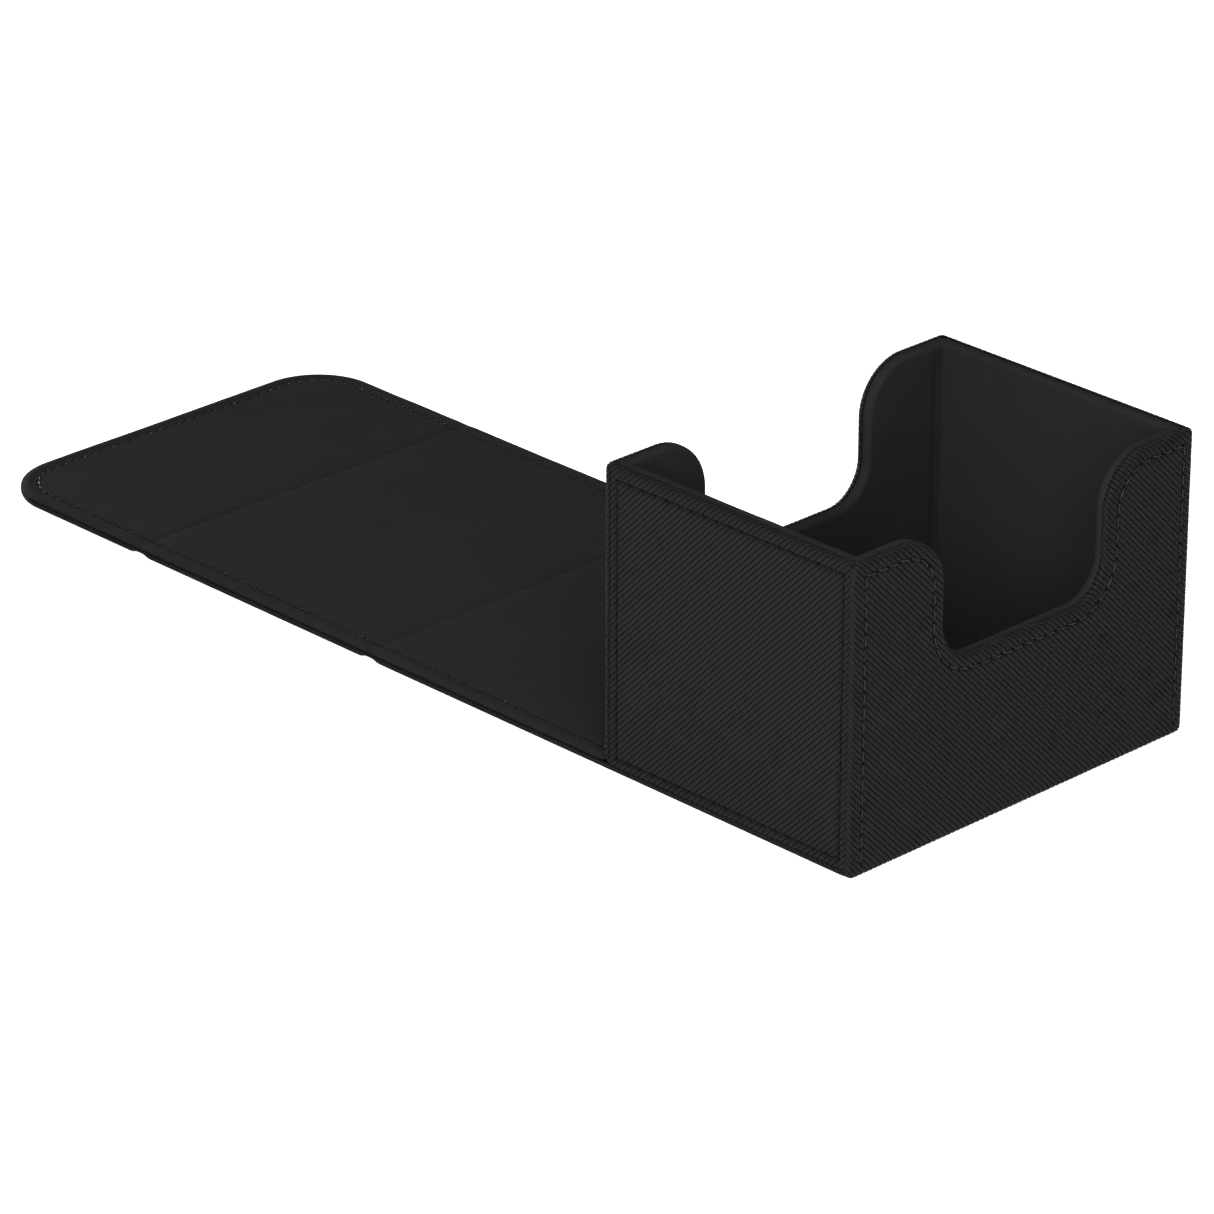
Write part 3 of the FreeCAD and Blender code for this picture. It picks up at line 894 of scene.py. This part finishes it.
def side_wall(name, place, rib_angle, seed):
    """Left or right wall, tucked between the end walls and down behind the base's edge."""
    low, high = corners_of(name + "_skin")
    ends = sorted(place.across[0] * x for x in (low[0] - REAR_TUCK, high[0] + FRONT_TUCK))
    top = HEIGHT + PROUD
    outer = rectangle(ends[0], low[2] - FOOT_TUCK, ends[1], top, SKIN_CORNER)
    seam = rectangle(low[0] + SEAM_SIDE, low[2] + SEAM_FOOT, high[0] - SEAM_SIDE, HEIGHT - SEAM_TOP, 0)
    rows = [(seam.path(k, (k + 1) % 4), SIDE_PITCHES[k % 2]) for k in range(4)]
    low, high = corners_of(name + "_lining")
    inner = rectangle(low[0] - CORNER_TUCK, low[2], high[0] + CORNER_TUCK, top, WALL_LINING_CORNER)
    # its stitches use the thread painted darker with shade
    wall(name, place, outer, seam, rows, inner, None, (RIB_DEPTH, rib_angle), SHADED_THREAD, seed)


def wall(name, place, outer, seam, rows, inner, inner_corner, ribs, thread, seed):
    """A wall's skin, lining and stitches, all riding on the box."""
    relief = skin_relief(seam, rows, ribs, seed)
    built = sheet(outer, LAYER, SKIN_EDGE, WALL_CELL, ribs[1], relief)
    skin = cover(name + "_cover", built, place, LEATHERETTE)
    relief = lining_relief([], seed + CLOTH_SEED_STEP, inner_corner)
    built = sheet(inner, WALL_PANEL - LAYER, WALL_LINING_EDGE, LINING_CELL, 0.0, relief)
    lining = cover(name + "_cloth", built, place.lining(), MICROFIBRE)
    sewing = threads(name + "_stitches", rows, [place], thread)
    for piece, part in ((skin, "skin"), (lining, "lining"), (sewing, "stitching")):
        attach(piece, "box")
        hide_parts(f"{name}_{part}")


def box_walls():
    minus_x, minus_y = (-1, 0, 0), (0, -1, 0)
    front = Place((FRONT_X, 0, 0), minus_y, Z, WALL_PANEL)
    rear = Place((REAR_X, 0, 0), Y, Z, WALL_PANEL)
    left = Place((0, -HALF_WIDTH, 0), minus_x, Z, WALL_PANEL)
    right = Place((0, HALF_WIDTH, 0), X, Z, WALL_PANEL)
    end_wall("front_wall", front, FRONT_LOW[2], RISING, 11)
    end_wall("rear_wall", rear, REAR_LOW[2], FALLING, 21)
    side_wall("left_wall", left, FALLING, 31)
    side_wall("right_wall", right, RISING, 41)


# ------------------------------------------------------------------ base and lid
def strip_outline():
    """Base and lid as one strip, from the front wall's foot to the flap's rounded end."""
    front = BASE_FRONT + BASE_TUCK
    return Outline([(LID_END, -HALF_WIDTH, FLAP_CORNER), (front, -HALF_WIDTH, SKIN_CORNER),
                    (front, HALF_WIDTH, SKIN_CORNER), (LID_END, HALF_WIDTH, FLAP_CORNER)])


def lid_outline():
    """The lid's lining, which starts just inside the rear wall's foot."""
    near = REAR_X + LINING_TUCK
    return Outline([(LID_END, -HALF_WIDTH, FLAP_CORNER), (near, -HALF_WIDTH, LINING_CORNER),
                    (near, HALF_WIDTH, LINING_CORNER), (LID_END, HALF_WIDTH, FLAP_CORNER)])


def seam_rows(start, end):
    """Stitch lines of the lid between two X positions, as far as the flap's end."""
    y = HALF_WIDTH - SEAM_LID
    if end > LID_END + 2 * FLAP_CORNER:
        return [(np.array([[start, side * y], [end, side * y]]), LID_PITCH) for side in (-1, 1)]
    round_end = Outline([(LID_END, -HALF_WIDTH, FLAP_CORNER), (start, -HALF_WIDTH, 0),
                         (start, HALF_WIDTH, 0), (LID_END, HALF_WIDTH, FLAP_CORNER)])
    seam = round_end.inset(SEAM_LID)
    path = seam.path(2, 1)
    path[0, 0] = path[-1, 0] = start
    return [(path, LID_PITCH)]


def notch_lift(x):
    """Underside notch at the folds beyond the first, which lies close to the rear wall."""
    total = np.zeros(len(x))
    for name in ("top_hinge", "flap_hinge"):
        total = np.maximum(total, NOTCH_DEPTH * np.exp(-((x - FOLDS[name]) / NOTCH_HALF) ** NOTCH_POWER))
    return total


def creased(relief):
    """A lining relief with a shallow valley at every fold, and a fine crease there in painted shade."""
    def with_folds(points, edge):
        height, drop, painted_shade, texture = relief(points, edge)
        inner = step(edge, *CREASE_ENDS)
        for sign, (place, width, size) in ((1, MARGIN_RIDGE), (-1, MARGIN_VALLEY)):
            height = height + sign * size * bell(edge - place, width)
        valley_width, valley_depth = FOLD_VALLEY
        crease_width, crease_depth, crease_shade = FOLD_CREASE
        for fold in FOLDS.values():
            valley = bell(points[:, 0] - fold, valley_width)
            crease = inner * bell(points[:, 0] - fold, crease_width)
            height = height - valley_depth * valley - crease_depth * crease
            painted_shade = np.maximum(painted_shade, crease_shade * crease)
        return height, drop, painted_shade, texture
    return with_folds


def base_cover(ground, outline, seam):
    relief = skin_relief(seam, [], (RIB_DEPTH, RISING), STRIP_SEED)
    built = sheet(outline, LAYER, LID_SKIN_EDGE, LID_CELL, RISING, relief, [(1, REAR_X)],
                  fold_lift=notch_lift)
    skin = cover("base_cover", built, ground, LEATHERETTE)
    low, high = corners_of("base_lining")
    inner = rectangle(low[0] - FLOOR_TUCK, low[1] - FLOOR_TUCK, high[0] + FLOOR_TUCK,
                      high[1] + FLOOR_TUCK, LINING_CORNER)
    relief = lining_relief([], FLOOR_SEED)
    built = sheet(inner, PANEL - LAYER, LINING_EDGE, LINING_CELL, 0.0, relief)
    cloth = cover("base_cloth", built, ground.lining(), MICROFIBRE)
    for piece, part in ((skin, "skin"), (cloth, "lining")):
        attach(piece, "box")
        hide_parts("base_" + part)


def lid_strip(name, fold, ends, ground, outline, seam, inner, web):
    """The stretch of lid round one fold: cover, lining and stitches."""
    far, near = ends
    rows = seam_rows(min(near, REAR_X - SEAM_START), far)
    far_cut = [(1, far)] if far > LID_END else []
    relief = skin_relief(seam, rows, (RIB_DEPTH, RISING), STRIP_SEED)
    built = sheet(outline, LAYER, LID_SKIN_EDGE, LID_CELL, RISING, relief,
                  far_cut + [(-1, min(near, REAR_X))], fold, notch_lift)
    skin = cover(name + "_cover", built, ground, LEATHERETTE)
    relief = creased(lining_relief(rows, LID_SEED))
    near_cut = [(-1, near)] if near < REAR_X else []
    built = sheet(inner, PANEL - LAYER, LINING_EDGE, LID_LINING_CELL, 0.0, relief, far_cut + near_cut, fold)
    cloth = cover(name + "_cloth", built, ground.lining(), MICROFIBRE)
    sewing = threads(name + "_stitches", rows, [ground, ground.lining()], THREAD, notch_lift)
    for piece in (skin, cloth, sewing):
        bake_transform(piece)
    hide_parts(name + "_skin", web)
    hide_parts(name + "_lining")
    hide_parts(name + "_stitching")


def base_and_lid():
    side, top, flap = (FOLDS[name] for name in ("side_hinge", "top_hinge", "flap_hinge"))
    middles = [(side + top) / 2, (top + flap) / 2]
    ground = Place((0, 0, 0), X, Y, PANEL)
    outline, inner = strip_outline(), lid_outline()
    seam = outline.inset(SEAM_LID)
    base_cover(ground, outline, seam)
    for name, bodies, fold, ends, web in (
            ("lid_side", ("box", "lid_side"), side, (middles[0], REAR_X), "side_hinge_web"),
            ("lid_top", ("lid_side", "lid_top"), top, (middles[1], middles[0]), "top_hinge_web"),
            ("lid_flap", ("lid_top", "lid_flap"), flap, (LID_END, middles[1]), "flap_hinge_web")):
        lid_strip(name, fold, ends, ground, outline, seam, inner, web)


def hidden_parts():
    """Boards, pads and magnets keep their CAD shapes, inside the panels."""
    finishes = {"board": BOARD, "pad": FOAM, "magnets": MAGNET}
    for name, node in frame["nodes"].items():
        finish = finishes.get(name.split("_")[-1])
        if finish:
            node.data.materials.clear()
            node.data.materials.append(finish)


# ------------------------------------------------------------------ stage
def floor():
    """Pale floor that looks plain white to the camera."""
    corners = [(-1, -1), (1, -1), (1, 1), (-1, 1)]
    mesh = bpy.data.meshes.new("studio_floor")
    mesh.from_pydata([(FLOOR_HALF * x, FLOOR_HALF * y, -FLOOR_DROP) for x, y in corners], [], [(0, 1, 2, 3)])
    made = bpy.data.objects.new("studio_floor", mesh)
    bpy.context.scene.collection.objects.link(made)
    finish = Finish("pale_floor")
    noise = finish.add("ShaderNodeTexNoise", Scale=4.0).outputs["Fac"]
    seen = finish.add("ShaderNodeLightPath").outputs["Is Camera Ray"]
    mesh.materials.append(finish.set({
        "Base Color": finish.mixed(noise, (0.93, 0.93, 0.93), (0.95, 0.95, 0.95)),
        "Roughness": 0.9,
        "Specular IOR Level": 0.1,
        "Emission Color": (1, 1, 1, 1),
        "Emission Strength": finish.maths("MULTIPLY", seen, FLOOR_GLOW),
    }))


def light(name, position, size, power):
    """Square area light aimed at the middle of the box."""
    data = bpy.data.lights.new(name, "AREA")
    data.shape, data.size, data.energy = "SQUARE", size, power
    made = bpy.data.objects.new(name, data)
    made.location = position
    made.rotation_mode = "QUATERNION"
    made.rotation_quaternion = (Vector(LIT_POINT) - Vector(position)).to_track_quat("-Z", "Y")
    bpy.context.scene.collection.objects.link(made)


def studio():
    """Soft white surroundings and the lights."""
    world = bpy.data.worlds.new("soft_white")
    world.use_nodes = True
    background = world.node_tree.nodes["Background"]
    background.inputs["Color"].default_value = (1, 1, 1, 1)
    background.inputs["Strength"].default_value = WORLD_STRENGTH
    bpy.context.scene.world = world
    for name, (position, size, power) in LIGHTS.items():
        light(name, position, size, power)
    bpy.context.scene.view_settings.view_transform = "Standard"


def camera():
    """Long lens, looking down on the corner between the left and front walls."""
    azimuth, elevation, roll = (math.radians(angle) for angle in CAMERA_ANGLES)
    back = Vector((math.sin(azimuth) * math.cos(elevation), -math.cos(azimuth) * math.cos(elevation),
                   math.sin(elevation)))
    right = Vector((math.cos(azimuth), math.sin(azimuth), 0))
    up = back.cross(right)
    across = right * math.cos(roll) + up * math.sin(roll)
    upright = up * math.cos(roll) - right * math.sin(roll)
    data = bpy.data.cameras.new("camera")
    data.sensor_width, data.lens = SENSOR, LENS
    data.clip_start, data.clip_end = 0.1, 20
    made = bpy.data.objects.new("camera", data)
    rotation = Matrix((across, upright, back)).transposed().to_4x4()
    made.matrix_world = Matrix.Translation(CAMERA_PLACE) @ rotation
    bpy.context.scene.collection.objects.link(made)
    bpy.context.scene.camera = made


box_walls()
base_and_lid()
hidden_parts()
floor()
studio()
camera()
